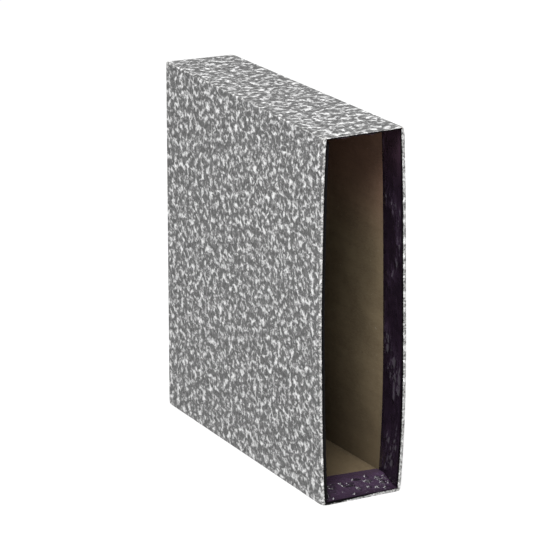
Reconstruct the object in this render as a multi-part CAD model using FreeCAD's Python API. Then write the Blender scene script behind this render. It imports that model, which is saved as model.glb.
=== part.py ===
"""Slipcase for one A4 lever arch file: a tall, narrow board case, closed on five sides, whose mouth is at -Y.

The case is a rigid box of greyboard panels, held edge to edge by gummed paper stays. A marbled paper wraps
the outside and turns in over the mouth, and embossed black strips line the mouth where the file slides in.
The floor is raised by two liner boards set back from the mouth, so the black strip climbs onto them as a
lead-in ramp. The case is a little wider at the mouth than at the rear, and each side bows outward towards the
mouth.

Frame: +Z up, +Y to the closed rear, origin on the ground at the middle of the case. Millimetres.
"""

import FreeCAD, Part

import os

V = FreeCAD.Vector

# Driving dimensions of the whole case, over the cover papers.
HEIGHT = 330.0
DEPTH = 300.0
MOUTH_WIDTH = 79.0
REAR_WIDTH = 70.0
SIDE_BOW = 3.9  # how far a side stands out at half height of the mouth, fading to nothing at the rear
BOW_POWER = 3  # 2 makes the bow a parabola, and more makes it flatter in the middle
BOW_STEPS = 8  # flat steps that make up half the bow

# Thicknesses of the stock. Each paper's thickness includes its film of glue.
BOARD = 2.6
LINER_BOARD = 3.4
STAY = 0.15
PAPER = 0.2
STRIP = 0.25

# Widths of the papers.
STAY_LEG = 12.0
TURN_IN = 15.0
COVER_MARGIN = 1.0  # how far the top and bottom papers stop short of the case's edges
STRIP_DEPTH = 33.0
STRIP_SETBACK = 0.6  # from the mouth's plane to the strips' front edges

# Floor liners, with the ramp that the bottom strip makes over their front edges.
LINER_SLACK = 0.5
LOWER_LINER_SETBACK = 16.0
UPPER_LINER_SETBACK = 24.0
RAMP_START = 8.0

# Levels outward from a board's face: stay, then side cover, then top or bottom cover.
SIDE_LEVEL = STAY + PAPER
END_LEVEL = SIDE_LEVEL + PAPER

# Level inward from a board's face: a turn-in with a mouth strip over it.
LINED = PAPER + STRIP

# Places that follow from the dimensions.
MOUTH_Y = -DEPTH / 2
REAR_Y = DEPTH / 2
BOARD_FRONT_Y = MOUTH_Y + PAPER
BOARD_REAR_Y = REAR_Y - SIDE_LEVEL
REAR_INNER_Y = BOARD_REAR_Y - BOARD
TURN_IN_Y = MOUTH_Y + TURN_IN
STRIP_FRONT_Y = MOUTH_Y + STRIP_SETBACK
STRIP_REAR_Y = MOUTH_Y + STRIP_DEPTH
BASE_Z = END_LEVEL
FLOOR_Z = BASE_Z + BOARD
CEILING_Z = HEIGHT - FLOOR_Z
LINER_TOP_Z = FLOOR_Z + 2 * LINER_BOARD
SIDES = {"left": -1, "right": 1}


def face_half(y):
    """Half the distance between the outer faces of the two side boards at y, where they aren't bowed."""
    along = (y - MOUTH_Y) / DEPTH
    return (MOUTH_WIDTH + (REAR_WIDTH - MOUTH_WIDTH) * along) / 2 - SIDE_LEVEL


def bow_at(y):
    """How far the sides stand out at half height."""
    return SIDE_BOW * (REAR_Y - y) / DEPTH


def side_x(level, y, z):
    """How far from the middle plane a surface lies that is level outward from a side board's outer face."""
    from_middle = (z - HEIGHT / 2) / (HEIGHT / 2 - FLOOR_Z)
    return face_half(y) + level + bow_at(y) * max(0.0, 1 - abs(from_middle) ** BOW_POWER)


def prism(outline, direction):
    """A flat outline pushed along a vector."""
    return Part.Face(Part.makePolygon(outline + outline[:1])).extrude(direction)


def fused(shapes):
    """One solid from pieces that share faces."""
    return shapes[0].multiFuse(shapes[1:]).removeSplitter().Solids[0]


def upside_down(shape):
    """The same piece at the other end of the case."""
    return shape.mirror(V(0, 0, HEIGHT / 2), V(0, 0, 1))


def side_sheet(side, inner, outer, y0, y1, z0, z1):
    """One layer of a side, between two levels, cut out between two depths and two heights.

    The bow twists the side, so it is laid as flat triangles, two to a step, which every layer shares.
    """
    rise = (HEIGHT / 2 - FLOOR_Z) / BOW_STEPS
    rows = [0.0] + [FLOOR_Z + rise * step for step in range(BOW_STEPS + 1)]
    thickness = V(side * (outer - inner), 0, 0)
    lower_half = []
    for low, high in zip(rows, rows[1:]):
        front, rear = [[V(side * side_x(inner, y, z), y, z) for z in (low, high)] for y in (MOUTH_Y, REAR_Y)]
        lower_half.append(prism([front[0], front[1], rear[1]], thickness))
        lower_half.append(prism([front[0], rear[1], rear[0]], thickness))
    whole = fused(lower_half + [upside_down(piece) for piece in lower_half])
    window = Part.makeBox(2 * MOUTH_WIDTH, y1 - y0, z1 - z0, V(-MOUTH_WIDTH, y0, z0))
    return whole.common(window).Solids[0]


def level_sheet(inset, y0, y1, z0, z1):
    """A level layer across the case that stops inset inward from the side boards' outer faces."""
    right = [V(face_half(y) - inset, y, z0) for y in (y0, y1)]
    left = [V(-corner.x, corner.y, z0) for corner in reversed(right)]
    return prism(right + left, V(0, 0, z1 - z0))


def side_band(side, inset, width, y0, y1, z0, z1):
    """A level band along one side, from inset inward from the side board's outer face."""
    corners = ((y0, inset), (y1, inset), (y1, inset + width), (y0, inset + width))
    outline = [V(side * (face_half(y) - into), y, z0) for y, into in corners]
    return prism(outline, V(0, 0, z1 - z0))


# Boards


def side_board(side):
    return side_sheet(side, -BOARD, 0, BOARD_FRONT_Y, BOARD_REAR_Y, BASE_Z, HEIGHT - BASE_Z)


def rear_board():
    return level_sheet(BOARD, REAR_INNER_Y, BOARD_REAR_Y, BASE_Z, HEIGHT - BASE_Z)


def bottom_board():
    return level_sheet(BOARD, BOARD_FRONT_Y, REAR_INNER_Y, BASE_Z, FLOOR_Z)


def floor_liner(setback, z0):
    return level_sheet(BOARD + LINER_SLACK, MOUTH_Y + setback, REAR_INNER_Y, z0, z0 + LINER_BOARD)


# Stays: gummed paper folded round the outside of each joint between boards


def bottom_side_stay(side):
    """Along a bottom edge, from the mouth to the rear."""
    upright = side_sheet(side, 0, STAY, BOARD_FRONT_Y, BOARD_REAR_Y, BASE_Z - STAY, BASE_Z + STAY_LEG)
    flat = side_band(side, 0, STAY_LEG, BOARD_FRONT_Y, BOARD_REAR_Y, BASE_Z - STAY, BASE_Z)
    return fused([upright, flat])


def rear_side_stay(side):
    """Up a rear corner, between the bottom and top stays."""
    z0 = BASE_Z + STAY_LEG
    z1 = HEIGHT - z0
    on_side = side_sheet(side, 0, STAY, BOARD_REAR_Y - STAY_LEG, BOARD_REAR_Y, z0, z1)
    on_rear = side_band(side, -STAY, STAY + STAY_LEG, BOARD_REAR_Y, BOARD_REAR_Y + STAY, z0, z1)
    return fused([on_side, on_rear])


def rear_bottom_stay():
    """Along the bottom edge of the rear, between the bottom side stays."""
    flat = level_sheet(STAY_LEG, BOARD_REAR_Y - STAY_LEG, BOARD_REAR_Y, BASE_Z - STAY, BASE_Z)
    upright = level_sheet(STAY_LEG, BOARD_REAR_Y, BOARD_REAR_Y + STAY, BASE_Z - STAY, BASE_Z + STAY_LEG)
    return fused([flat, upright])


# Cover papers


def side_cover():
    """One sheet round the left side, the rear and the right side, turned in over the mouth and both ends."""
    z0 = BASE_Z - SIDE_LEVEL
    z1 = HEIGHT - z0
    flaps = (z0, z1 - PAPER)
    pieces = [level_sheet(-STAY, REAR_Y - PAPER, REAR_Y, z0, z1)]
    pieces += [level_sheet(0, REAR_Y - TURN_IN, REAR_Y, low, low + PAPER) for low in flaps]
    for side in SIDES.values():
        outside = side_sheet(side, STAY, SIDE_LEVEL, BOARD_FRONT_Y, REAR_Y, z0, z1)
        over_edge = side_sheet(side, -BOARD - PAPER, SIDE_LEVEL, MOUTH_Y, BOARD_FRONT_Y, z0, z1)
        inside = side_sheet(side, -BOARD - PAPER, -BOARD, BOARD_FRONT_Y, TURN_IN_Y, FLOOR_Z, CEILING_Z)
        pieces += [outside, over_edge, inside]
        for low in flaps:
            pieces.append(side_band(side, -STAY, STAY + TURN_IN, BOARD_FRONT_Y, REAR_Y, low, low + PAPER))
    return fused(pieces)


def bottom_cover():
    """A sheet under the bottom, short of the side and rear edges, and turned in over the mouth."""
    margin = COVER_MARGIN - SIDE_LEVEL
    beside = BOARD + PAPER
    under = level_sheet(margin, MOUTH_Y, REAR_Y - COVER_MARGIN, 0, PAPER)
    over_edge = level_sheet(beside, MOUTH_Y, BOARD_FRONT_Y, PAPER, FLOOR_Z + PAPER)
    inside = level_sheet(beside, BOARD_FRONT_Y, TURN_IN_Y, FLOOR_Z, FLOOR_Z + PAPER)
    return fused([under, over_edge, inside])


# Mouth strips


def side_strip(side):
    """Down an inner side at the mouth, over the side cover's turn-in."""
    z0 = FLOOR_Z + PAPER
    return side_sheet(side, -BOARD - LINED, -BOARD - PAPER, STRIP_FRONT_Y, STRIP_REAR_Y, z0, HEIGHT - z0)


def top_strip():
    """Across the ceiling at the mouth."""
    z1 = CEILING_Z - PAPER
    return level_sheet(BOARD + LINED, STRIP_FRONT_Y, STRIP_REAR_Y, z1 - STRIP, z1)


def bottom_strip():
    """Across the floor at the mouth: level at first, then up a ramp and onto the liner boards."""
    under = [
        V(-MOUTH_WIDTH, STRIP_FRONT_Y, FLOOR_Z + PAPER),
        V(-MOUTH_WIDTH, MOUTH_Y + RAMP_START, FLOOR_Z + PAPER),
        V(-MOUTH_WIDTH, MOUTH_Y + UPPER_LINER_SETBACK, LINER_TOP_Z),
        V(-MOUTH_WIDTH, STRIP_REAR_Y, LINER_TOP_Z),
    ]
    over = [corner + V(0, 0, STRIP) for corner in reversed(under)]
    endless = prism(under + over, V(2 * MOUTH_WIDTH, 0, 0))
    room = level_sheet(BOARD + LINED, STRIP_FRONT_Y, STRIP_REAR_Y, 0, HEIGHT / 2)
    return endless.common(room).Solids[0]


def subparts():
    """The shape of each piece, by the name of its node."""
    nodes = {
        "rear_board": rear_board(),
        "bottom_board": bottom_board(),
        "top_board": upside_down(bottom_board()),
        "floor_liner_lower": floor_liner(LOWER_LINER_SETBACK, FLOOR_Z),
        "floor_liner_upper": floor_liner(UPPER_LINER_SETBACK, FLOOR_Z + LINER_BOARD),
        "rear_bottom_stay": rear_bottom_stay(),
        "rear_top_stay": upside_down(rear_bottom_stay()),
        "side_cover_paper": side_cover(),
        "bottom_cover_paper": bottom_cover(),
        "top_cover_paper": upside_down(bottom_cover()),
        "bottom_mouth_strip": bottom_strip(),
        "top_mouth_strip": top_strip(),
    }
    for name, side in SIDES.items():
        nodes[f"{name}_side_board"] = side_board(side)
        nodes[f"bottom_{name}_stay"] = bottom_side_stay(side)
        nodes[f"top_{name}_stay"] = upside_down(bottom_side_stay(side))
        nodes[f"rear_{name}_stay"] = rear_side_stay(side)
        nodes[f"{name}_mouth_strip"] = side_strip(side)
    return nodes


def main():
    os.makedirs("parts", exist_ok=True)
    for name, shape in subparts().items():
        shape.exportStep(f"parts/{name}.step")
        print(f"{name}: {len(shape.Solids)} solid, {shape.Volume:.0f} mm3, valid {shape.isValid()}")


main()
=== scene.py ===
"""Looks of the lever arch file slipcase: finished papers, boards and mouth strips on the CAD's frame.

Every length is in metres, in the CAD's frame: +Z up, the mouth at -Y. A sheet's UV map, SHEET_UV, gives its
place on the flat sheet in metres, so the marbling and the leather grain run on over the folds.
"""

import math

import bmesh
import bpy
from mathutils import Matrix, Vector, noise


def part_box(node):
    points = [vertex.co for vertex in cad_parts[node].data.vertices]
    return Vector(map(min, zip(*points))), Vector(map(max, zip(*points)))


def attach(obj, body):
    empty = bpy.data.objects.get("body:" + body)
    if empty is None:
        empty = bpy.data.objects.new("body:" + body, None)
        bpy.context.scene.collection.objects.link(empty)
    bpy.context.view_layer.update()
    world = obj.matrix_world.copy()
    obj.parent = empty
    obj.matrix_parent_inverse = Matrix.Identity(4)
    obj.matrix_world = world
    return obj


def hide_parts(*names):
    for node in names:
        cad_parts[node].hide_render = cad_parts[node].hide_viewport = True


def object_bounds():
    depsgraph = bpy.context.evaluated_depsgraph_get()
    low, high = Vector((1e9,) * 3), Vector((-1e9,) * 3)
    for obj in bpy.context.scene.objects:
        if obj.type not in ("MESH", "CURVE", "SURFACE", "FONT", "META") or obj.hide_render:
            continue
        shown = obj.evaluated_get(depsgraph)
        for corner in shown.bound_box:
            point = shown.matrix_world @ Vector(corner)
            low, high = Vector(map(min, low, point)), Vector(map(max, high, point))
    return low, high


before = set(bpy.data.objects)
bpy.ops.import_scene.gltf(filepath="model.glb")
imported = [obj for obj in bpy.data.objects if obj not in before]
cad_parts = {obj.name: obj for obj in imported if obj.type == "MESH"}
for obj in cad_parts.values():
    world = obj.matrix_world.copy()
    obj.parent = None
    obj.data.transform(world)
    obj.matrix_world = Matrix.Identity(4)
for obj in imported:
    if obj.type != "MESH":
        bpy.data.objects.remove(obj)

CAD_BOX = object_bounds()

MM = 0.001
SHEET_UV = "Sheet"
WEAR = "wear"  # the name of the attribute that says how worn or creased a sheet is

# ---------------------------------------------------------------- places, read from the CAD

LOW, HIGH = (Vector(corner) for corner in CAD_BOX)
HEIGHT = HIGH.z - LOW.z
MOUTH_Y = LOW.y
REAR_Y = HIGH.y
MIDDLE_Z = (LOW.z + HIGH.z) / 2

bottom_low, bottom_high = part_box("bottom_board")
rear_low, rear_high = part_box("rear_board")
side_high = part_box("right_side_board")[1]
cover_low, cover_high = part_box("side_cover_paper")
strip_low, strip_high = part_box("right_mouth_strip")
ceiling_low, ceiling_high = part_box("top_mouth_strip")

BOARD = bottom_high.z - bottom_low.z
PAPER = bottom_low.y - MOUTH_Y
BASE_Z = bottom_low.z
FLOOR_Z = bottom_high.z
CEILING_Z = HIGH.z - FLOOR_Z
REAR_INNER_Y = rear_low.y
SIDE_LEVEL = REAR_Y - rear_high.y  # the side cover's visible face, outward from a board's outer face
STAY = SIDE_LEVEL - PAPER
LINER_TOP_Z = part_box("floor_liner_upper")[1].z
LINER_FRONT_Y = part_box("floor_liner_upper")[0].y
STRIP = ceiling_high.z - ceiling_low.z
STRIP_REAR_Y = strip_high.y
TURN_IN = 15 * MM
STAY_LEG = 12 * MM
COVER_MARGIN = 1 * MM
LINER_SLACK = 0.5 * MM
RAMP_START = 8 * MM
BOW_POWER = 3
HALF_FRONT = bottom_high.x + BOARD
HALF_REAR = rear_high.x + BOARD
BOW = side_high.x - HALF_FRONT


def half_width(y):
    """Half the distance between the side boards' outer faces where they aren't bowed."""
    along = (y - bottom_low.y) / (REAR_INNER_Y - bottom_low.y)
    return HALF_FRONT + (HALF_REAR - HALF_FRONT) * along


def side_x(level, y, z):
    """How far from the middle plane the surface lies that is level outward from a side board's outer face."""
    from_middle = (z - MIDDLE_Z) / (MIDDLE_Z - FLOOR_Z)
    fade = (REAR_Y - y) / (REAR_Y - bottom_low.y)
    return half_width(y) + level + BOW * fade * max(0.0, 1 - abs(from_middle) ** BOW_POWER)


# ---------------------------------------------------------------- camera, floor and light

CAMERA_AZIMUTH = math.radians(-28.84)  # 0 looks straight into the mouth
CAMERA_ELEVATION = math.radians(17.71)
CAMERA_DISTANCE = 3.1871
CAMERA_ASIDE = 0.9 * MM
CAMERA_UP = -6.2 * MM
FOCAL_PER_WIDTH = 6.367  # the lens's focal length over the picture's width
SENSOR = 36.0  # millimetres
FAR_CLIP = 50.0
WORLD_STRENGTH = 0.15
STAGE_REACH = 6.0
FLOOR_GLOW = 0.93  # keeps the floor pale right up to the case


def make_camera():
    """The camera faces the case's middle from the front left, a little above it."""
    back = Vector(
        (
            math.sin(CAMERA_AZIMUTH) * math.cos(CAMERA_ELEVATION),
            -math.cos(CAMERA_AZIMUTH) * math.cos(CAMERA_ELEVATION),
            math.sin(CAMERA_ELEVATION),
        )
    )
    right = Vector((0, 0, 1)).cross(back).normalized()
    up = back.cross(right)
    data = bpy.data.cameras.new("camera")
    data.sensor_width = SENSOR
    data.lens = SENSOR * FOCAL_PER_WIDTH
    data.clip_end = FAR_CLIP
    camera = bpy.data.objects.new("camera", data)
    place = Vector((0, 0, MIDDLE_Z)) + CAMERA_ASIDE * right + CAMERA_UP * up + CAMERA_DISTANCE * back
    turn = Matrix((right, up, back)).transposed().to_4x4()
    camera.matrix_world = Matrix.Translation(place) @ turn
    bpy.context.scene.collection.objects.link(camera)
    bpy.context.scene.camera = camera


# name, place from the case's middle, width, height and power
LIGHTS = (
    ("key", (-1.40, -1.26, 2.17), 1.5, 1.5, 100.0),
    ("front", (-0.3, -2.6, 1.65 - MIDDLE_Z), 0.9, 0.9, 15.0),
    ("glint", (-0.45, -0.75, 2.25), 0.5, 0.5, 31.0),
    ("fill", (1.7, 1.1, 0.35), 1.2, 0.6, 16.0),
    ("back", (1.15, 2.1, 0.95), 1.8, 0.9, 4.0),
)


def area_light(name, place, width, height, power):
    """A white area light, width by height, that faces the case's middle and isn't seen itself."""
    data = bpy.data.lights.new(name, "AREA")
    data.shape = "RECTANGLE"
    data.size = width
    data.size_y = height
    data.energy = power
    light = bpy.data.objects.new(name, data)
    light.visible_camera = False
    turn = Vector(place).to_track_quat("Z", "Y").to_matrix().to_4x4()
    light.matrix_world = Matrix.Translation((place[0], place[1], place[2] + MIDDLE_Z)) @ turn
    bpy.context.scene.collection.objects.link(light)


def make_light():
    """A soft key from the front left, a small light for the gloss, and weak lights for the other sides."""
    world = bpy.data.worlds.new("studio")
    world.use_nodes = True
    backdrop = world.node_tree.nodes["Background"]
    backdrop.inputs["Color"].default_value = (1.0, 1.0, 1.0, 1.0)
    backdrop.inputs["Strength"].default_value = WORLD_STRENGTH
    bpy.context.scene.world = world
    for light in LIGHTS:
        area_light(*light)


def make_floor():
    """The studio floor, level with the case's lowest point."""
    mesh = bpy.data.meshes.new("floor")
    signs = ((-1, -1), (1, -1), (1, 1), (-1, 1))
    corners = [(x * STAGE_REACH, y * STAGE_REACH, LOW.z) for x, y in signs]
    mesh.from_pydata(corners, [], [(0, 1, 2, 3)])
    floor = bpy.data.objects.new("floor", mesh)
    bpy.context.scene.collection.objects.link(floor)
    mesh.materials.append(floor_material())


# ---------------------------------------------------------------- node materials


class Nodes:
    """A material's node tree, with short ways to add a node. A value may be another node's socket."""

    def __init__(self, name):
        self.material = bpy.data.materials.new(name)
        self.material.use_nodes = True
        self.tree = self.material.node_tree
        self.tree.nodes.clear()

    def add(self, kind, inputs=None, **settings):
        """A node of a kind: inputs by name or number, and its settings."""
        node = self.tree.nodes.new("ShaderNode" + kind)
        for key, value in settings.items():
            setattr(node, key, value)
        for key, value in (inputs or {}).items():
            if isinstance(value, bpy.types.NodeSocket):
                self.tree.links.new(value, node.inputs[key])
            else:
                node.inputs[key].default_value = value
        return node

    def math(self, operation, *values):
        return self.add("Math", dict(enumerate(values)), operation=operation).outputs[0]

    def vector_math(self, operation, *values):
        return self.add("VectorMath", dict(enumerate(values)), operation=operation).outputs[0]

    def part(self, vector, axis):
        """A vector's X, Y or Z."""
        return self.add("SeparateXYZ", {"Vector": vector}).outputs[axis]

    def noise(self, place, scale, detail=2.0, roughness=0.5, distortion=0.0, output="Fac"):
        inputs = {"Vector": place, "Scale": scale, "Detail": detail}
        inputs |= {"Roughness": roughness, "Distortion": distortion}
        return self.add("TexNoise", inputs, noise_dimensions="3D").outputs[output]

    def fade(self, value, low, high, to_low=0.0, to_high=1.0):
        """value eased from low..high onto to_low..to_high."""
        node = self.add(
            "MapRange",
            {"Value": value, "From Min": low, "From Max": high, "To Min": to_low, "To Max": to_high},
            interpolation_type="SMOOTHSTEP",
        )
        return node.outputs["Result"]

    def mix(self, share, first, second, blend="MIX"):
        """Two colours, first at a share of 0 and second at 1."""
        settings = {"data_type": "RGBA", "blend_type": blend, "clamp_factor": True}
        return self.add("Mix", {0: share, 6: first, 7: second}, **settings).outputs[2]

    def stretch(self, place, scale):
        inputs = {"Vector": place, "Scale": scale}
        return self.add("Mapping", inputs, vector_type="POINT").outputs["Vector"]

    def bump(self, height, distance, strength=1.0, under=None):
        """A normal from a height, on top of the normal under it."""
        inputs = {"Height": height, "Distance": distance, "Strength": strength}
        if under is not None:
            inputs["Normal"] = under
        return self.add("Bump", inputs).outputs["Normal"]

    def sheet_place(self):
        return self.add("UVMap", uv_map=SHEET_UV).outputs["UV"]

    def body_place(self):
        """The place in the CAD's frame."""
        return self.add("TexCoord").outputs["Object"]

    def upward(self):
        """How far the surface faces up, from -1 to 1."""
        return self.part(self.add("NewGeometry").outputs["Normal"], "Z")

    def wear(self):
        return self.add("Attribute", attribute_name=WEAR).outputs["Fac"]

    def finish(self, **inputs):
        """The finished material, from the shader's inputs by name."""
        shader = self.add("BsdfPrincipled", {key.replace("_", " "): value for key, value in inputs.items()})
        self.add("OutputMaterial", {"Surface": shader.outputs["BSDF"]})
        return self.material


def grey(value):
    return (value, value, value, 1.0)


def marbled_material():
    """Grey paper printed with a fine, soft-edged white and grey marbling."""
    n = Nodes("marbled_paper")
    place = n.sheet_place()
    swirl = n.noise(place, 110.0, 2.0, 0.5, output="Color")
    pulled = n.vector_math("ADD", place, n.vector_math("MULTIPLY", swirl, (0.0040, 0.0040, 0.0)))
    blots = n.noise(pulled, 165.0, 3.2, 0.62, 0.35)
    veins = n.noise(pulled, 350.0, 2.0, 0.55, 0.8)
    flecks = n.math("ADD", n.math("MULTIPLY", blots, 0.72), n.math("MULTIPLY", veins, 0.28))
    light = n.fade(flecks, 0.47, 0.645)
    dark = n.fade(n.noise(pulled, 330.0, 3.0, 0.6, 1.2), 0.62, 0.36)
    cloud = n.noise(place, 9.0, 3.0, 0.5)
    base = n.mix(dark, grey(0.118), grey(0.045))
    ink = n.mix(light, base, grey(0.72))
    toned = n.mix(n.fade(cloud, 0.3, 0.7, 0.0, 0.08), ink, grey(0.16))
    fibre = n.noise(n.stretch(place, (900.0, 2600.0, 1.0)), 1.0, 3.0, 0.6)
    scuff = n.math("MULTIPLY", n.wear(), n.fade(n.noise(place, 520.0, 4.0, 0.65), 0.42, 0.60))
    colour = n.mix(scuff, toned, (0.70, 0.695, 0.68, 1.0))
    rough = n.math("ADD", n.fade(fibre, 0.3, 0.7, 0.44, 0.56), n.math("MULTIPLY", scuff, 0.25))
    cockle = n.noise(place, 38.0, 2.0, 0.5)
    normal = n.bump(cockle, 0.0006, 0.35)
    normal = n.bump(fibre, 0.00004, 0.6, normal)
    normal = n.bump(scuff, 0.00012, 0.5, normal)
    return n.finish(Base_Color=colour, Roughness=rough, Normal=normal, Specular_IOR_Level=0.3)


def greyboard_material():
    """Raw grey-brown board: felted fibres, stray flecks and a faint roller streak, darker towards the floor
    in painted shade.
    """
    n = Nodes("raw_greyboard")
    place = n.body_place()
    fibres = n.noise(n.stretch(place, (700.0, 260.0, 1100.0)), 1.0, 4.0, 0.65, 0.6)
    mottle = n.noise(place, 26.0, 4.0, 0.6)
    streak = n.noise(n.stretch(place, (40.0, 6.0, 150.0)), 1.0, 3.0, 0.55)
    tone = n.mix(n.fade(mottle, 0.3, 0.7), (0.136, 0.101, 0.057, 1), (0.190, 0.144, 0.083, 1))
    tone = n.mix(n.fade(streak, 0.35, 0.65, 0.0, 0.35), tone, (0.113, 0.084, 0.048, 1))
    tone = n.mix(n.fade(fibres, 0.35, 0.68, 0.0, 0.5), tone, (0.230, 0.180, 0.112, 1))
    specks = n.noise(n.stretch(place, (420.0, 300.0, 520.0)), 1.0, 1.0, 0.5)
    tone = n.mix(n.fade(specks, 0.72, 0.80, 0.0, 0.7), tone, (0.06, 0.046, 0.034, 1))
    tone = n.mix(n.fade(specks, 0.26, 0.19, 0.0, 0.6), tone, (0.33, 0.28, 0.21, 1))
    height = n.part(place, "Z")
    reddened = n.fade(height, 0.6 * HEIGHT, 0.9 * HEIGHT)
    tone = n.mix(reddened, tone, (1.2, 0.92, 1.06, 1), "MULTIPLY")
    # Darker towards the floor: painted shade that stands in for the shade low down inside the case.
    painted_floor_shade = n.fade(height, 0.36 * HEIGHT, 0.04 * HEIGHT)
    tone = n.mix(painted_floor_shade, tone, (0.58, 0.56, 0.535, 1), "MULTIPLY")
    normal = n.bump(mottle, 0.0005, 0.3)
    normal = n.bump(fibres, 0.00008, 0.7, normal)
    rough = n.fade(fibres, 0.3, 0.7, 0.80, 0.94)
    return n.finish(Base_Color=tone, Roughness=rough, Normal=normal, Specular_IOR_Level=0.3)


def leathercloth_material():
    """Black embossed leathercloth with a patchy gloss. It is painted nearly black over the lips as shade, a
    lighter purple further in where it faces up (partly dust, partly painted sheen), and lighter near the
    ceiling as painted light.
    """
    n = Nodes("black_leathercloth")
    place = n.sheet_place()
    cells = n.add("TexVoronoi", {"Vector": place, "Scale": 900.0, "Randomness": 1.0}, feature="SMOOTH_F1")
    grain = n.noise(place, 700.0, 3.0, 0.6, 0.5)
    patch = n.noise(place, 60.0, 3.0, 0.55)
    crease = n.wear()
    upward = n.upward()
    depth = n.math("SUBTRACT", n.part(n.body_place(), "Y"), MOUTH_Y)
    # Lighter purple on up-facing cloth, less of it near the mouth: partly dust and partly painted sheen that
    # stands in for the floor strip's gloss.
    dust = n.math("MULTIPLY", n.fade(upward, 0.55, 0.96), n.fade(patch, 0.2, 0.8, 0.75, 1.0))
    dust = n.math("MULTIPLY", dust, n.fade(depth, 1 * MM, 18 * MM, 0.5, 1.0))
    past_lip = n.math("ADD", depth, n.fade(upward, 0.3, 0.9, 0.0, 2 * MM))
    inside = n.fade(past_lip, 0.5 * MM, 4 * MM)
    tone = n.mix(n.fade(patch, 0.3, 0.7), (0.0080, 0.0050, 0.0088, 1), (0.0145, 0.0085, 0.0160, 1))
    tone = n.mix(n.math("MULTIPLY", crease, 0.5), tone, (0.026, 0.016, 0.030, 1))
    tone = n.mix(dust, tone, (0.046, 0.0275, 0.053, 1))
    # Lighter near the ceiling: painted light that lifts the shade under the top board.
    painted_light_near_ceiling = n.fade(n.part(n.body_place(), "Z"), 0.82 * HEIGHT, 0.98 * HEIGHT)
    tone = n.mix(painted_light_near_ceiling, tone, (3.2, 2.9, 2.4, 1), "MULTIPLY")
    # Nearly black over the lips and just inside them: painted shade, darker than the cloth's own black.
    tone = n.mix(inside, (0.0014, 0.0010, 0.0014, 1), tone)
    rough = n.math("SUBTRACT", n.fade(patch, 0.3, 0.7, 0.22, 0.34), n.math("MULTIPLY", crease, 0.04))
    wrinkle = n.math("MULTIPLY", n.noise(place, 330.0, 4.0, 0.6, 1.5), crease)
    normal = n.bump(patch, 0.0006, 0.35)
    normal = n.bump(wrinkle, 0.0012, 1.0, normal)
    normal = n.bump(grain, 0.00012, 0.6, normal)
    normal = n.bump(cells.outputs["Distance"], 0.00008, 0.5, normal)
    return n.finish(
        Base_Color=tone,
        Roughness=rough,
        Normal=normal,
        Specular_IOR_Level=0.07,
        Coat_Weight=n.fade(past_lip, 1 * MM, 5 * MM, 0.0, 0.6),
        Coat_Roughness=0.09,
    )


def kraft_material():
    """Brown gummed paper with long fibres and glue stains."""
    n = Nodes("gummed_kraft_paper")
    place = n.body_place()
    fibres = n.noise(n.stretch(place, (900.0, 150.0, 900.0)), 1.0, 4.0, 0.6, 0.4)
    stain = n.noise(place, 45.0, 3.0, 0.6)
    tone = n.mix(n.fade(fibres, 0.3, 0.7), (0.30, 0.20, 0.11, 1), (0.43, 0.31, 0.19, 1))
    tone = n.mix(n.fade(stain, 0.45, 0.65, 0.0, 0.4), tone, (0.22, 0.145, 0.08, 1))
    normal = n.bump(fibres, 0.00006, 0.6)
    return n.finish(Base_Color=tone, Roughness=n.fade(stain, 0.4, 0.7, 0.82, 0.6), Normal=normal)


def floor_material():
    """The pale studio floor. It glows, so that no shadow greys it."""
    n = Nodes("studio_floor")
    dust = n.noise(n.body_place(), 3.0, 3.0, 0.5)
    tone = n.mix(n.fade(dust, 0.3, 0.7), grey(0.08), grey(0.10))
    return n.finish(
        Base_Color=tone,
        Roughness=0.8,
        Specular_IOR_Level=0.2,
        Emission_Color=grey(1.0),
        Emission_Strength=FLOOR_GLOW,
    )


# ---------------------------------------------------------------- the case's set: small dents and waves

# side, depth end, height end, how far the corner is knocked in, and how far round it that reaches
CORNER_DENTS = (
    (-1, -1, -1, 1.3 * MM, 7 * MM),
    (1, -1, -1, 0.8 * MM, 5 * MM),
    (-1, -1, 1, 0.6 * MM, 4 * MM),
    (1, -1, 1, 0.8 * MM, 5 * MM),
    (-1, 1, -1, 0.7 * MM, 5 * MM),
    (1, 1, -1, 0.8 * MM, 5 * MM),
    (-1, 1, 1, 0.4 * MM, 4 * MM),
    (1, 1, 1, 0.5 * MM, 4 * MM),
)
TWIST = 0.9 * MM  # how far the rear's top left corner stands up, and the right one down
FRONT_RISE = 0.7 * MM  # how much the mouth stands taller than the rear
RIGHT_SAG = 0.7 * MM  # how much lower the right side bows out, at the mouth
LEFT_SPAN = 0.5 * MM  # how much shorter the left side's bow is
DENT_ALONG = 0.6  # how far a dent goes along the depth, against 1 across it and 1 up or down
PINCH = 2.1 * MM  # how far the top's lip is pressed together
PINCH_FADE = (1 * MM, 14 * MM)  # behind the mouth
PINCH_BELOW = 30 * MM  # how far under the ceiling the sides begin to follow
WAVE = 0.12 * MM
WAVE_LENGTH = 70 * MM
WAVE_FADE = (5 * MM, 40 * MM)  # in from the top, the bottom and the rear


def eased(value, low, high):
    """0 up to low, 1 from high on, and a smooth rise between."""
    share = min(1.0, max(0.0, (value - low) / (high - low)))
    return share * share * (3 - 2 * share)


def case_corner(side, deep, high):
    """The undamaged corner at a side, a depth end and a height end, each given as -1 or 1."""
    y = MOUTH_Y if deep < 0 else REAR_Y
    return Vector((side * side_x(SIDE_LEVEL, y, FLOOR_Z), y, LOW.z if high < 0 else HIGH.z))


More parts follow.
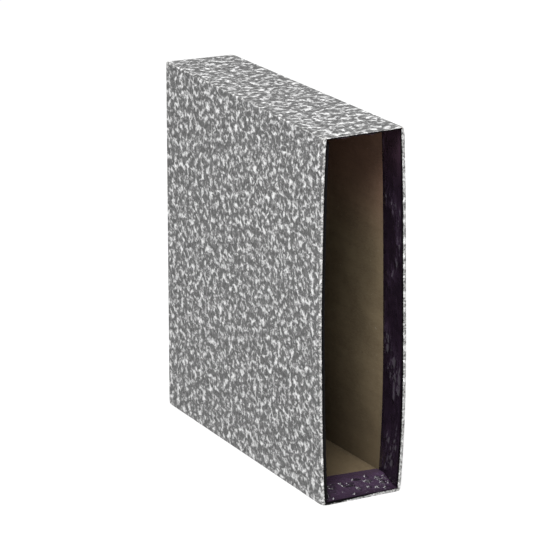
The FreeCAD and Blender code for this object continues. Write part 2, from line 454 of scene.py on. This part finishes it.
def settled(point):
    """Where a point of the undamaged case lies on this used one.

    Every piece goes through it, so that they all move together and none clash.
    """
    x, y, z = point
    inward = (y - MOUTH_Y) / (REAR_Y - MOUTH_Y)
    upward = (z - LOW.z) / HEIGHT
    twist = -TWIST * x / HALF_REAR * inward * upward
    rise = FRONT_RISE * (1 - inward) * upward
    up_down = math.sin(2 * math.pi * upward)
    bent = RIGHT_SAG * up_down if x > 0 else -LEFT_SPAN * up_down * up_down
    sway = bent * x / HALF_FRONT * (1 - inward)
    edge = min(z - LOW.z, HIGH.z - z, REAR_Y - y)
    ripple = noise.noise(Vector((math.copysign(3.0, x), y / WAVE_LENGTH, z / WAVE_LENGTH)))
    wave = WAVE * ripple * eased(edge, *WAVE_FADE)
    pinch = PINCH * (1 - eased(y - MOUTH_Y, *PINCH_FADE)) * eased(z, CEILING_Z - PINCH_BELOW, CEILING_Z)
    pinch *= min(1.0, (HIGH.z - z) / (HIGH.z - CEILING_Z))
    moved = Vector((x + sway + wave, y, z + twist + rise + pinch))
    for side, deep, high, depth, reach in CORNER_DENTS:
        near = 1 - (moved - case_corner(side, deep, high)).length / reach
        if near > 0:
            moved -= Vector((side, DENT_ALONG * deep, high)).normalized() * depth * near * near
    return moved


# ---------------------------------------------------------------- sheets as closed meshes

FOLD = 0.8 * MM  # radius of the cover paper's visible face over a board's edge
BEVEL = 0.45 * MM  # of a board's edges
ARC_STEPS = 5
WELD = 1e-6  # points nearer than this become one
SHARP = math.radians(50)


def spaced(start, end, step):
    """Evenly spaced numbers from start to end, at most step apart."""
    count = max(1, math.ceil(abs(end - start) / step - 1e-9))
    return [start + (end - start) * i / count for i in range(count + 1)]


def folded(corners, radii, step):
    """A flat path through corners, rounded at each inner one: (place, outward normal, run so far, leg).

    Outward is to the left of the way along. A whole leg is a straight stretch, and a half the fold after it.
    """
    corners = [Vector(corner) for corner in corners]
    path = []
    run = 0.0
    at = corners[0]
    for leg, corner in enumerate(corners[1:]):
        along = (corner - corners[leg]).normalized()
        left = Vector((-along.y, along.x))
        last = leg == len(corners) - 2
        onward = along if last else (corners[leg + 2] - corner).normalized()
        turn = math.atan2(along.cross(onward), along.dot(onward))
        radius = 0.0 if last else radii[leg]
        cut = radius * math.tan(abs(turn) / 2)
        length = (corner - at).length - cut
        for stop in spaced(0.0, length, step):
            path.append((at + along * stop, left, run + stop, leg))
        run += length
        bend = math.copysign(radius, turn)
        centre = at + along * length + left * bend
        for arc_step in range(1, ARC_STEPS):
            out = Matrix.Rotation(turn * arc_step / ARC_STEPS, 2) @ left
            arc_run = radius * abs(turn) * arc_step / ARC_STEPS
            path.append((centre - out * bend, out, run + arc_run, leg + 0.5))
        run += radius * abs(turn)
        at = corner + onward * cut
    return [stop for stop, following in zip(path, path[1:]) if stop[2] < following[2] - 1e-9] + path[-1:]


def closed_sheet(name, material, us, vs, point_at):
    """The closed mesh of a sheet over the grid of us and vs, which stands in for the CAD's node.

    point_at(u, v) gives a point of the visible face, the point behind it on the back, its place on the flat
    sheet, and how worn it is there, from 0 to 1.
    """
    grid = [[point_at(u, v) for v in vs] for u in us]
    bm = bmesh.new()
    uv_layer = bm.loops.layers.uv.new(SHEET_UV)
    wear_layer = bm.verts.layers.float.new(WEAR)
    front = [[bm.verts.new(settled(point[0])) for point in column] for column in grid]
    rear = [[bm.verts.new(settled(point[1])) for point in column] for column in grid]
    for i, column in enumerate(grid):
        for j, (_, _, _, worn) in enumerate(column):
            front[i][j][wear_layer] = worn
            rear[i][j][wear_layer] = worn

    def quad(*corners):
        made = bm.faces.new([side[i][j] for side, i, j in corners])
        made.smooth = True
        for loop, (_, i, j) in zip(made.loops, corners):
            loop[uv_layer].uv = grid[i][j][2]

    last_i, last_j = len(us) - 1, len(vs) - 1
    for i in range(last_i):
        for j in range(last_j):
            quad((front, i, j), (front, i + 1, j), (front, i + 1, j + 1), (front, i, j + 1))
            quad((rear, i, j), (rear, i, j + 1), (rear, i + 1, j + 1), (rear, i + 1, j))
    rim = [(i, 0) for i in range(last_i)]
    rim += [(last_i, j) for j in range(last_j)]
    rim += [(i, last_j) for i in range(last_i, 0, -1)]
    rim += [(0, j) for j in range(last_j, 0, -1)]
    for (i, j), (k, m) in zip(rim, rim[1:] + rim[:1]):
        quad((front, i, j), (rear, i, j), (rear, k, m), (front, k, m))
    bmesh.ops.remove_doubles(bm, verts=bm.verts, dist=WELD)
    bmesh.ops.recalc_face_normals(bm, faces=bm.faces)
    mesh = bpy.data.meshes.new(name)
    bm.to_mesh(mesh)
    bm.free()
    mesh.materials.append(MATERIALS[material])
    mesh.set_sharp_from_angle(angle=SHARP)
    piece = bpy.data.objects.new(name + "_sheet", mesh)
    bpy.context.scene.collection.objects.link(piece)
    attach(piece, "root")
    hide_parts(name)


# ---------------------------------------------------------------- cover papers

GRID = 4 * MM
END_COLUMNS = 12  # of an end cover, to each side of its middle
SINK_WIDTH = 3 * MM  # over which a paper drops off the edge of what lies under it
SINK_SHARE = 0.9  # of the thickness of what lies under it
LIP_WEAR = 0.6
FOLD_WEAR = 0.35
CORNER_WEAR_REACH = 9 * MM
RAGGED = 0.25 * MM  # how far the end covers' long edges stray
RAGGED_LENGTH = 4 * MM
ROLL_SHIFT = (0.31, 0.17)  # where on the marbled roll the end covers are cut


def corner_wear(point):
    """1 at the case's corners and at nothing within CORNER_WEAR_REACH."""
    near = 0.0
    for side, deep, high, _, _ in CORNER_DENTS:
        near = max(near, 1 - (point - case_corner(side, deep, high)).length / CORNER_WEAR_REACH)
    return near


def side_cover_place(stop, side, inward, z, leg_up):
    """A point of the side cover: stop is a place of its plan, and inward how far its flap has turned in.

    leg_up is 0 on the bottom flap, 1 between the flaps and 2 on the top one.
    """
    (level, y), out, _, leg = stop
    if leg > 2:
        inward = PAPER if inward > PAPER / 2 else 0.0
        z = min(max(z, FLOOR_Z), CEILING_Z)
    elif leg > 1:
        inward = min(inward, FOLD)
    if leg_up == 1 and leg < 2:
        edge = min(z - LOW.z, HIGH.z - z, SIDE_LEVEL - level if leg == 0 else REAR_Y - y)
        inward += SINK_SHARE * STAY * eased(edge, STAY_LEG, STAY_LEG + SINK_WIDTH)
    turned = min(inward, FOLD)
    level -= out.x * turned
    y -= out.y * turned
    if inward > FOLD:
        level = min(level, SIDE_LEVEL - inward)
        y = min(y, REAR_Y - inward)
    return Vector((side * side_x(level, y, z), y, z))


def make_side_cover():
    """One sheet round both sides and the rear, turned in over the mouth, the top and the bottom."""
    lip = -BOARD - PAPER
    plan = folded(
        [
            (-half_width(REAR_Y), REAR_Y),
            (SIDE_LEVEL, REAR_Y),
            (SIDE_LEVEL, MOUTH_Y),
            (lip, MOUTH_Y),
            (lip, MOUTH_Y + TURN_IN),
        ],
        [FOLD, FOLD, FOLD],
        GRID,
    )
    low, high = cover_low.z, cover_high.z
    upward = folded([(TURN_IN, low), (0, low), (0, high), (TURN_IN, high)], [FOLD, FOLD], GRID)
    around = [(-1, stop) for stop in reversed(plan[1:])] + [(1, stop) for stop in plan]

    def point_at(column, row):
        side, stop = column
        place, out, climb, leg_up = row
        face = side_cover_place(stop, side, *place, leg_up)
        back = side_cover_place(stop, side, *(place - out * PAPER), leg_up)
        leg = stop[3]
        plain = LIP_WEAR if leg == 2 else FOLD_WEAR if leg % 1 else 0.0
        worn = plain if leg_up == 1 else max(plain, FOLD_WEAR) if leg_up % 1 else 0.0
        return face, back, (side * stop[2], climb), max(worn, corner_wear(face))

    closed_sheet("side_cover_paper", "marbled_paper", around, upward, point_at)


def make_end_cover(name, sign):
    """The top cover for sign 1, and the bottom one for -1."""
    outer = HIGH.z
    inner = CEILING_Z - PAPER
    rear = REAR_Y - COVER_MARGIN
    corners = [(MOUTH_Y + TURN_IN, inner), (MOUTH_Y, inner), (MOUTH_Y, outer), (rear, outer)]
    inward = folded(corners, [FOLD, FOLD], GRID)
    shares = [column / END_COLUMNS for column in range(-END_COLUMNS, END_COLUMNS + 1)]

    def point_at(share, stop):
        (y, z), out, run, leg = stop
        half = side_x(SIDE_LEVEL - COVER_MARGIN if leg == 2 else -BOARD - PAPER, y, 0.0)
        half += RAGGED * noise.noise(Vector((run / RAGGED_LENGTH, share * 5, 7.0 * sign)))
        x = share * half
        edge = min(side_x(SIDE_LEVEL, y, 0.0) - abs(x), REAR_Y - y)
        sink = PAPER * eased(edge, TURN_IN, TURN_IN + SINK_WIDTH)
        sink += STAY * eased(edge, STAY_LEG, STAY_LEG + SINK_WIDTH)
        sink *= SINK_SHARE * eased(y, MOUTH_Y, MOUTH_Y + SINK_WIDTH) if leg == 2 else 0.0

        def under(depth):
            height = z - out.y * depth
            return Vector((x, y - out.x * depth, height if sign > 0 else HIGH.z - height))

        worn = LIP_WEAR if leg == 1 else FOLD_WEAR if leg % 1 else 0.0
        face = under(sink)
        flat = (x + ROLL_SHIFT[0] * sign, run + ROLL_SHIFT[1])
        return face, under(sink + PAPER), flat, max(worn, corner_wear(face))

    closed_sheet(name, "marbled_paper", shares, inward, point_at)


# ---------------------------------------------------------------- boards

BOARD_GRID = 8 * MM


def slab(name, us, vs, face_at, back_at):
    """A board with bevelled edges, from its two faces as functions of u, v and the bevel at hand."""
    us = [us[0], us[0] + BEVEL] + us[1:-1] + [us[-1] - BEVEL, us[-1]]
    vs = [vs[0], vs[0] + BEVEL] + vs[1:-1] + [vs[-1] - BEVEL, vs[-1]]

    def point_at(u, v):
        bevel = BEVEL if u in (us[0], us[-1]) or v in (vs[0], vs[-1]) else 0.0
        return face_at(u, v, bevel), back_at(u, v, bevel), (u, v), 0.0

    closed_sheet(name, "greyboard", us, vs, point_at)


def make_side_board(name, side):
    def at(level):
        return lambda y, z, bevel: Vector((side * side_x(level(bevel), y, z), y, z))

    ys = spaced(bottom_low.y, rear_high.y, BOARD_GRID)
    zs = spaced(BASE_Z, HIGH.z - BASE_Z, BOARD_GRID)
    slab(name, ys, zs, at(lambda bevel: -BOARD + bevel), at(lambda bevel: -bevel))


def make_level_board(name, inset):
    """A board that lies level: the top, the bottom or a floor liner."""
    low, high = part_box(name)

    def at(z, way):
        return lambda x, y, bevel: Vector((x / HALF_FRONT * side_x(inset, y, 0.0), y, z + way * bevel))

    xs = spaced(-HALF_FRONT, HALF_FRONT, BOARD_GRID)
    ys = spaced(low.y, high.y, BOARD_GRID)
    slab(name, xs, ys, at(high.z, -1), at(low.z, 1))


def make_rear_board():
    low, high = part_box("rear_board")

    def at(y, way):
        return lambda x, z, bevel: Vector((x / HALF_FRONT * side_x(-BOARD, y, 0.0), y + way * bevel, z))

    xs = spaced(-HALF_FRONT, HALF_FRONT, BOARD_GRID)
    zs = spaced(low.z, high.z, BOARD_GRID)
    slab("rear_board", xs, zs, at(low.y, 1), at(high.y, -1))


# ---------------------------------------------------------------- stays

STAY_GRID = 2 * MM


def make_stay(name, stops, place_at):
    """Gummed paper folded round a corner: place_at turns (first leg, second leg) and a stop into a point."""
    radius = FOLD - PAPER
    across = folded([(-STAY_LEG, STAY), (STAY, STAY), (STAY, -STAY_LEG)], [radius], STAY_GRID)

    def point_at(fold, stop):
        (a, b), out, run, _ = fold
        back = place_at(a - out.x * STAY, b - out.y * STAY, stop)
        return place_at(a, b, stop), back, (run, stop), 0.0

    closed_sheet(name, "gummed_paper", across, stops, point_at)


def make_stays():
    """Four along the case's long edges, two up its rear corners and two across the rear's short edges."""
    for side_name, side in (("left", -1), ("right", 1)):
        long_stops = spaced(bottom_low.y + BEVEL, rear_high.y - BEVEL, BOARD_GRID)
        for end_name, top in (("bottom", False), ("top", True)):

            def beside(a, b, y, side=side, top=top):
                z = BASE_Z - b
                x = side * side_x(a, y, z)
                return Vector((x, y, HIGH.z - z if top else z))

            make_stay(f"{end_name}_{side_name}_stay", long_stops, beside)

        def up_rear(a, b, z, side=side):
            y = rear_high.y + b
            return Vector((side * side_x(a, y, z), y, z))

        upright = spaced(BASE_Z + STAY_LEG, HIGH.z - BASE_Z - STAY_LEG, BOARD_GRID)
        make_stay(f"rear_{side_name}_stay", upright, up_rear)
    for end_name, top in (("bottom", False), ("top", True)):

        def across_rear(a, b, x, top=top):
            z = BASE_Z - b
            return Vector((x, rear_high.y + a, HIGH.z - z if top else z))

        reach = half_width(REAR_Y) - STAY_LEG
        make_stay(f"rear_{end_name}_stay", spaced(-reach, reach, BOARD_GRID), across_rear)


# ---------------------------------------------------------------- mouth strips

LAP_MOST = 2.6 * MM
SIDE_LAPS = {-1: 0.8 * MM, 1: 0.1 * MM}  # how much of a lip its strip hides
TOP_LAP = 2.5 * MM
FLOOR_LAPS = (2.2 * MM, 0.5 * MM)  # at the left and the right
FLOOR_REACH = (8 * MM, 2 * MM)  # how much further in the floor strip reaches, at the left and the right
LAP_FADE = (0.1, 0.75)  # where, from the left to the right, a lap passes from its first figure to its second
LAP_STRAY = 0.45  # of the lap, over LAP_STRAY_LENGTH
LAP_STRAY_LENGTH = 6 * MM
LAP_NICK = 0.25 * MM
LAP_NICK_LENGTH = 1.7 * MM
LAP_LEAST = 0.05 * MM
LIP_FLARE = 0.7  # how fast a level strip widens over its lip
SIDE_CREASE = 1.8 * MM
CREASED_DEPTH = (1.5 * MM, 6 * MM, 28 * MM, 32 * MM)
CREASED_END = (1 * MM, 5 * MM)  # above the floor liner and below the ceiling
CREASE_LEAN = 0.06
CREASE_SWAY = 2 * MM
CREASE_SWAY_LENGTH = 14 * MM
CREASE_SIZE = (6.5 * MM, 32 * MM)  # of the sharp folds, along the depth and up
SIDE_BUCKLE_SIZE = (3.5 * MM, 12 * MM)
SIDE_PATCH_SIZE = (25 * MM, 50 * MM)  # of the patches that are creased more or less
SIDE_ROLLS = {-1: 2.3 * MM, 1: 0.0}  # how far a side strip stands off where it rolls over its lip
ROLL_FADE = (2 * MM, 12 * MM)  # behind the mouth
ROLL_TAPER = 4 * MM  # at the strip's two ends
FLOOR_CRUMPLE = 2.1 * MM
CRUMPLE_SKEW = math.radians(25)  # between the floor strip's crumples and the mouth
CRUMPLE_SWAY = 2 * MM
CRUMPLE_SWAY_LENGTH = 9 * MM
CRUMPLE_SIZE = (6 * MM, 4.5 * MM)  # of the sharp folds, along and across them
CRUMPLE_RIDGES = 0.3  # how high the sharp folds stand, against 1 for the buckles
FLOOR_BUCKLE_SIZE = (9 * MM, 2.8 * MM)
FLOOR_PATCH_SIZE = (22 * MM, 12 * MM)
CRUMPLED_DEPTH = (0.5 * MM, 3 * MM, 23 * MM, 32 * MM)
CRUMPLED_LEAST = 0.03  # the share of the crumpling that is left beyond it
CRUMPLE_TAPER = 2.5 * MM  # at the strip's two ends
RAMP_RADIUS = 12 * MM
RIDGE_NARROWNESS = 2.4
BUCKLE_REACH = 0.5  # of the distance between two buckles
FINE = 0.4 * MM


def between(value, low, low_full, high_full, high):
    """1 from low_full to high_full, falling to 0 at low and at high."""
    return eased(value, low, low_full) * (1 - eased(value, high_full, high))


def ridges(x, y, seed):
    """Sharp creases between flat facets, from 0 to 1: the folds of a crumpled sheet."""
    total, most, weight, scale = 0.0, 0.0, 1.0, 1.0
    for octave in range(3):
        value = noise.noise(Vector((x * scale, y * scale, seed + 17.3 * octave)))
        total += weight * (1 - min(1.0, abs(value) * RIDGE_NARROWNESS)) ** 2
        most += weight
        weight *= 0.5
        scale *= 2.1
    return total / most


def buckles(x, y, seed):
    """Small cones of uneven height, about one to each unit of x and y, from 0 to 1."""
    return max(0.0, 1 - noise.voronoi(Vector((x, y, seed)))[0][0] / BUCKLE_REACH)


def lap_start(lap, along, seed):
    """Where along its line a strip starts, so that it hides a ragged lap of the lip."""
    lap *= 1 + LAP_STRAY * noise.noise(Vector((along / LAP_STRAY_LENGTH, seed, 1.0)))
    lap += LAP_NICK * noise.noise(Vector((along / LAP_NICK_LENGTH, seed, 4.0)))
    lap = min(max(lap, LAP_LEAST), LAP_MOST)
    if lap >= FOLD:
        return LAP_MOST - lap
    return LAP_MOST - FOLD + FOLD * math.asin(1 - lap / FOLD)


def stop_at(line, run):
    """The place and the outward normal of a folded line at a run along it."""
    for (place, out, start, _), (next_place, next_out, end, _) in zip(line, line[1:]):
        if run <= end:
            share = max(0.0, (run - start) / (end - start))
            return place.lerp(next_place, share), out.lerp(next_out, share).normalized()
    return line[-1][0], line[-1][1]


def side_crease(depth, z, seed):
    """How far a side strip stands off its board in long upright creases."""
    tilt = depth + CREASE_LEAN * z
    tilt += CREASE_SWAY * noise.noise(Vector((z / CREASE_SWAY_LENGTH, seed, 2.0)))
    folds = ridges(tilt / CREASE_SIZE[0], z / CREASE_SIZE[1], seed)
    folds += buckles(tilt / SIDE_BUCKLE_SIZE[0], z / SIDE_BUCKLE_SIZE[1], seed)
    patch = noise.noise(Vector((depth / SIDE_PATCH_SIZE[0], z / SIDE_PATCH_SIZE[1], seed + 5)))
    free = between(depth, *CREASED_DEPTH)
    free *= eased(z - LINER_TOP_Z, *CREASED_END) * eased(CEILING_Z - z, *CREASED_END)
    return SIDE_CREASE * folds * (0.15 + 0.85 * eased(patch, -0.1, 0.3)) * free


def make_side_strip(name, side, seed):
    """A strip down one side of the mouth, from its ragged edge on the lip over the fold and in."""
    lip = -BOARD - PAPER
    line = folded([(lip + LAP_MOST, MOUTH_Y), (lip, MOUTH_Y), (lip, STRIP_REAR_Y)], [FOLD], FINE)
    heights = spaced(strip_low.z, strip_high.z, 2 * FINE)

    def point_at(stop, z):
        run = stop[2]
        (level, y), out = stop_at(line, max(run, lap_start(SIDE_LAPS[side], z, seed)))
        depth = y - MOUTH_Y
        from_end = min(z - strip_low.z, strip_high.z - z)
        stand = side_crease(depth, z, seed)
        level += PAPER * eased(depth, TURN_IN, TURN_IN + SINK_WIDTH)
        roll = SIDE_ROLLS[side] * out.x * out.x * (1 - eased(depth, *ROLL_FADE))
        roll *= eased(from_end, 0.0, ROLL_TAPER)

        def off_board(off):
            return Vector((side * side_x(level + out.x * off, y, z), y + out.y * off, z))

        return off_board(STRIP + stand + roll), off_board(0.0), (run, z), stand / SIDE_CREASE

    closed_sheet(name, "black_leathercloth", line, heights, point_at)


def floor_crumple(depth, x, seed):
    """How far the floor strip stands up in small crumples where files rub over it."""
    sway = noise.noise(Vector((x / CRUMPLE_SWAY_LENGTH, depth / CRUMPLE_SWAY_LENGTH, seed)))
    sway *= CRUMPLE_SWAY
    along = x * math.cos(CRUMPLE_SKEW) - depth * math.sin(CRUMPLE_SKEW) + sway
    across = x * math.sin(CRUMPLE_SKEW) + depth * math.cos(CRUMPLE_SKEW) + sway
    folds = CRUMPLE_RIDGES * ridges(along / CRUMPLE_SIZE[0], across / CRUMPLE_SIZE[1], seed)
    folds += buckles(along / FLOOR_BUCKLE_SIZE[0], across / FLOOR_BUCKLE_SIZE[1], seed)
    patch = noise.noise(Vector((x / FLOOR_PATCH_SIZE[0], depth / FLOOR_PATCH_SIZE[1], seed + 5)))
    band = CRUMPLED_LEAST + (1 - CRUMPLED_LEAST) * between(depth, *CRUMPLED_DEPTH)
    return FLOOR_CRUMPLE * folds * (0.6 + 0.4 * eased(patch, -0.3, 0.1)) * band


def make_level_strip(name, corners, radii, laps, reaches, seed, top=False):
    """A strip across the floor, whose line in (y, z) goes up the lip and then through corners.

    The one across the ceiling is made the same way and turned over.
    """
    first = Vector(corners[0])
    line = folded([first - Vector((0, LAP_MOST))] + corners, [FOLD] + radii, FINE)
    half = side_x(-BOARD - PAPER - STRIP, MOUTH_Y, 0.0)

    def point_at(share, stop):
        run = stop[2]
        rightward = (share + 1) / 2
        lap = laps[0] + (laps[1] - laps[0]) * eased(rightward, *LAP_FADE)
        (y, z), out = stop_at(line, max(run, lap_start(lap, share * half, seed)))
        x = share * (side_x(-BOARD - PAPER - STRIP, y, 0.0) + LIP_FLARE * max(0.0, first.y - z))
        reach = reaches[0] + (reaches[1] - reaches[0]) * rightward
        y += reach * max(0.0, y - LINER_FRONT_Y) / (STRIP_REAR_Y - LINER_FRONT_Y)
        from_end = (1 - abs(share)) * half
        stand = floor_crumple(y - MOUTH_Y, x, seed) * eased(from_end, 0.0, CRUMPLE_TAPER)

        def off_floor(off):
            height = z + out.y * off
            return Vector((x, y + out.x * off, HIGH.z - height if top else height))

        return off_floor(STRIP + stand), off_floor(0.0), (x, run), stand / FLOOR_CRUMPLE

    closed_sheet(name, "black_leathercloth", spaced(-1.0, 1.0, FINE / half), line, point_at)


def make_mouth_strips():
    """The four leathercloth strips that line the mouth, each with its own seed."""
    make_side_strip("left_mouth_strip", -1, 3.0)
    make_side_strip("right_mouth_strip", 1, 19.0)
    floor = FLOOR_Z + PAPER
    level = [(MOUTH_Y, floor), (STRIP_REAR_Y, floor)]
    make_level_strip("top_mouth_strip", level, [], (TOP_LAP, TOP_LAP), (0.0, 0.0), 23.0, top=True)
    ramp = [
        (MOUTH_Y, floor),
        (MOUTH_Y + RAMP_START, floor),
        (LINER_FRONT_Y, LINER_TOP_Z),
        (STRIP_REAR_Y, LINER_TOP_Z),
    ]
    make_level_strip("bottom_mouth_strip", ramp, [RAMP_RADIUS, RAMP_RADIUS], FLOOR_LAPS, FLOOR_REACH, 43.0)


# ---------------------------------------------------------------- making it all

make_camera()
make_light()
make_floor()
MATERIALS = {
    "greyboard": greyboard_material(),
    "gummed_paper": kraft_material(),
    "marbled_paper": marbled_material(),
    "black_leathercloth": leathercloth_material(),
}
make_side_cover()
make_end_cover("top_cover_paper", 1)
make_end_cover("bottom_cover_paper", -1)
make_side_board("left_side_board", -1)
make_side_board("right_side_board", 1)
make_rear_board()
for board_name in ("top_board", "bottom_board"):
    make_level_board(board_name, -BOARD)
for board_name in ("floor_liner_lower", "floor_liner_upper"):
    make_level_board(board_name, -BOARD - LINER_SLACK)
make_stays()
make_mouth_strips()

bpy.context.scene.view_settings.view_transform = "Standard"
